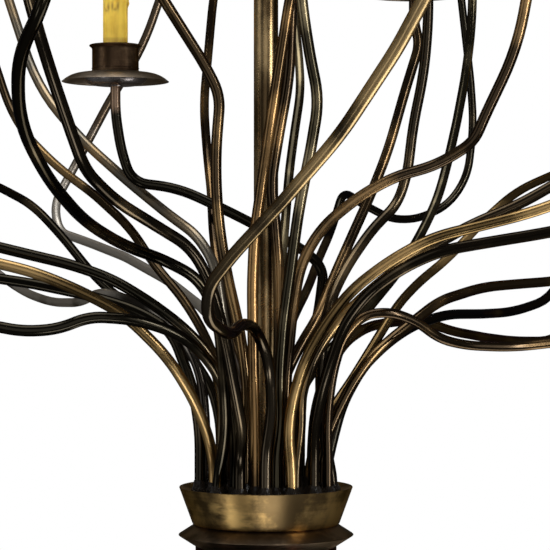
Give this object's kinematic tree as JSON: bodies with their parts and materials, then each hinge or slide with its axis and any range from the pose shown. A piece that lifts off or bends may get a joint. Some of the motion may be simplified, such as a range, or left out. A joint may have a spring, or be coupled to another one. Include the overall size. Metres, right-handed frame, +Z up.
{
  "type": "branch chandelier",
  "caption": "Chandelier of bent bronze rods that rise from a cup on a centre pole and spread like branches, with candle lights on drip pans and a swivelling ceiling canopy.",
  "frame": {"origin": "ceiling mount: centre of the canopy's rim and of the crossbar's two screw holes, in the ceiling plane", "axes": "+Z up out of the ceiling mount, X to the viewer's right along the crossbar, +Y away from the viewer"},
  "size_m": [1.213, 1.2724, 1.102],
  "materials": {
    "bronze": "glossy antique bronze",
    "gilt_bronze": "brushed antique gold bronze",
    "dark_bronze": "dark bronze",
    "oxblood_paint": "glossy dark red",
    "zinc_steel": "zinc-plated",
    "lamp_brass": "plain brass",
    "socket_plastic": "dark phenolic",
    "wax_sleeve": "amber wax-coloured sleeve with drips",
    "bulb_glass": "clear flame-shaped glass"
  },
  "bodies": {
    "ceiling_mount": {"crossbar": "zinc_steel", "hanger_nipple": "lamp_brass", "canopy": "bronze", "canopy_collar": "gilt_bronze", "swivel_yoke": "gilt_bronze"},
    "swivel": {"swivel_cross": "zinc_steel"},
    "chandelier": {"stem_yoke": "gilt_bronze", "center_pole": "gilt_bronze", "socket_plate": "dark_bronze", "hub_cup": "gilt_bronze", "flange_disc": "bronze", "turned_body": "oxblood_paint", "tie_rod": "zinc_steel", "finial": "gilt_bronze", "arm_bosses": "bronze", "drip_pans": "bronze", "candle_cups": "bronze", "cup_studs": "lamp_brass", "lamp_sockets": "socket_plastic", "candle_sleeves": "wax_sleeve", "candle_arm_1": "bronze", "candle_arm_2": "bronze", "candle_arm_3": "bronze", "candle_arm_4": "bronze", "candle_arm_5": "bronze", "candle_arm_6": "bronze", "candle_arm_7": "bronze", "candle_arm_8": "bronze", "branch_1": "bronze", "branch_2": "bronze", "branch_3": "bronze", "branch_4": "bronze", "branch_5": "bronze", "branch_6": "bronze", "branch_7": "bronze", "branch_8": "bronze", "branch_9": "bronze", "branch_10": "bronze", "branch_11": "bronze", "branch_12": "bronze", "branch_13": "bronze", "branch_14": "bronze", "branch_15": "bronze", "branch_16": "bronze", "branch_17": "bronze", "branch_18": "bronze", "branch_19": "bronze", "branch_20": "bronze", "branch_21": "bronze", "branch_22": "bronze", "branch_23": "bronze", "branch_24": "bronze"},
    "lamp_1": {"bulb_1": "bulb_glass"},
    "lamp_2": {"bulb_2": "bulb_glass"},
    "lamp_3": {"bulb_3": "bulb_glass"},
    "lamp_4": {"bulb_4": "bulb_glass"},
    "lamp_5": {"bulb_5": "bulb_glass"},
    "lamp_6": {"bulb_6": "bulb_glass"},
    "lamp_7": {"bulb_7": "bulb_glass"},
    "lamp_8": {"bulb_8": "bulb_glass"}
  },
  "joints": [
    {"name": "swing_x", "type": "hinge", "parent": "ceiling_mount", "child": "swivel", "pos_m": [0, 0, -0.084], "axis": [1, 0, 0], "range_deg": [-15, 15]},
    {"name": "swing_y", "type": "hinge", "parent": "swivel", "child": "chandelier", "pos_m": [0, 0, -0.084], "axis": [0, 1, 0], "range_deg": [-15, 15]},
    {"name": "bulb_1_turn", "type": "hinge", "parent": "chandelier", "child": "lamp_1", "pos_m": [-0.162, 0.15, -0.363], "axis": [0, 0, 1], "continuous": true},
    {"name": "bulb_2_turn", "type": "hinge", "parent": "chandelier", "child": "lamp_2", "pos_m": [0.161, 0.2, -0.263], "axis": [0, 0, 1], "continuous": true},
    {"name": "bulb_3_turn", "type": "hinge", "parent": "chandelier", "child": "lamp_3", "pos_m": [0.14, -0.63, -0.28], "axis": [0, 0, 1], "continuous": true},
    {"name": "bulb_4_turn", "type": "hinge", "parent": "chandelier", "child": "lamp_4", "pos_m": [-0.15, -0.55, -0.28], "axis": [0, 0, 1], "continuous": true},
    {"name": "bulb_5_turn", "type": "hinge", "parent": "chandelier", "child": "lamp_5", "pos_m": [-0.548, -0.14, -0.455], "axis": [0, 0, 1], "continuous": true},
    {"name": "bulb_6_turn", "type": "hinge", "parent": "chandelier", "child": "lamp_6", "pos_m": [0.55, 0.095, -0.485], "axis": [0, 0, 1], "continuous": true},
    {"name": "bulb_7_turn", "type": "hinge", "parent": "chandelier", "child": "lamp_7", "pos_m": [-0.388, 0.408, -0.375], "axis": [0, 0, 1], "continuous": true},
    {"name": "bulb_8_turn", "type": "hinge", "parent": "chandelier", "child": "lamp_8", "pos_m": [0.42, 0.446, -0.36], "axis": [0, 0, 1], "continuous": true}
  ]
}
